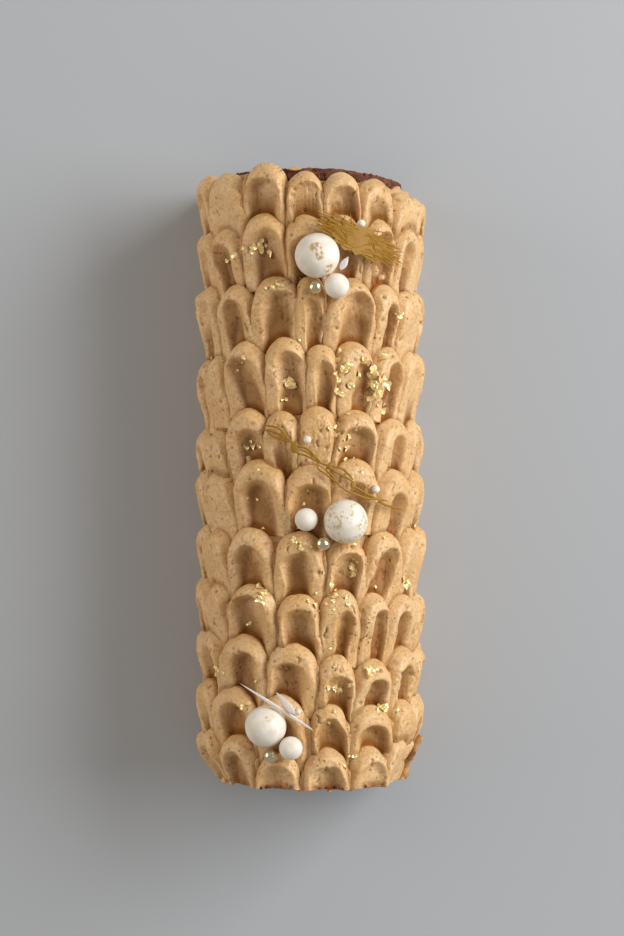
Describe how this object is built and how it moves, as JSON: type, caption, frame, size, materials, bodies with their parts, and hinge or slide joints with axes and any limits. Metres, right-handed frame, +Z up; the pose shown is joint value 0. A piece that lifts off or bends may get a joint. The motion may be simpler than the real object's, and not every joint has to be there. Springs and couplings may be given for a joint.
{
  "type": "yule log cake",
  "caption": "Long log cake of sponge under rows of spooned buttercream petals, topped with white sugar balls, silver pearls, gold sprigs and a white sugar needle.",
  "frame": {"origin": "bottom centre of the whole cake's box, on the surface it stands on", "axes": "+Z up, +Y along the log to the end where the sponge shows past the coat, +X across the log"},
  "size_m": [0.1032, 0.2678, 0.096],
  "materials": {
    "sponge": "red-brown cocoa sponge, open dry crumb",
    "buttercream": "caramel buttercream, soft satin, spoon drag marks and fine air pits",
    "white_ball": "white sugar shell, satin",
    "silver_pearl": "champagne silver sugar pearl, metallic lustre",
    "gold_sprig": "edible gold lustre, satin",
    "white_sugar": "slightly translucent white sugar"
  },
  "bodies": {
    "root": {"sponge_log": "sponge", "buttercream_coat": "buttercream", "ball_big_1": "white_ball", "ball_big_2": "white_ball", "ball_big_3": "white_ball", "ball_small_1": "white_ball", "ball_small_2": "white_ball", "ball_small_3": "white_ball", "pearl_mini_1": "white_ball", "pearl_mini_2": "white_ball", "pearl_mini_3": "white_ball", "pearl_mini_4": "white_ball", "pearl_silver_1": "silver_pearl", "pearl_silver_2": "silver_pearl", "pearl_silver_3": "silver_pearl", "sprig_fir": "gold_sprig", "sprig_wire": "gold_sprig", "needle_white": "white_sugar", "shard_white_1": "white_sugar", "shard_white_2": "white_sugar"}
  },
  "joints": []
}
